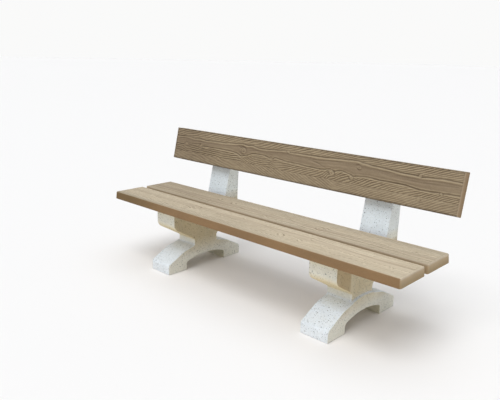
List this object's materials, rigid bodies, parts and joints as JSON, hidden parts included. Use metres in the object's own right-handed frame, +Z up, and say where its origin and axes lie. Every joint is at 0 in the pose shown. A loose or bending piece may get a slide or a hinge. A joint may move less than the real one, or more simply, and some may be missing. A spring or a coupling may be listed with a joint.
{
  "type": "garden bench",
  "caption": "Precast concrete garden bench: wood-grained planks for seat and leaning backrest, on arched stone-coloured pedestals with uprights.",
  "frame": {"origin": "on the ground, at the middle of the bench's length and depth", "axes": "+Z up; +X along the bench, to the right as seen from the front; the sitter faces -Y and the backrest is on the +Y side"},
  "size_m": [1.9996, 0.6048, 0.7863],
  "materials": {
    "cast_stone": "matte",
    "wood_look_concrete": "matte",
    "mortar": "matte",
    "zinc_steel": "satin",
    "bar_steel": "matte"
  },
  "bodies": {
    "root": {"left_pedestal": "cast_stone", "right_pedestal": "cast_stone", "front_seat_plank": "wood_look_concrete", "rear_seat_plank": "wood_look_concrete", "backrest_plank": "wood_look_concrete", "left_front_mortar_bed": "mortar", "left_rear_mortar_bed": "mortar", "right_front_mortar_bed": "mortar", "right_rear_mortar_bed": "mortar", "seat_dowels": "zinc_steel", "backrest_sockets": "zinc_steel", "backrest_bolts": "zinc_steel", "backrest_washers": "zinc_steel", "front_plank_rebar": "bar_steel", "rear_plank_rebar": "bar_steel", "backrest_rebar": "bar_steel", "left_pedestal_rebar": "bar_steel", "right_pedestal_rebar": "bar_steel"}
  },
  "joints": []
}
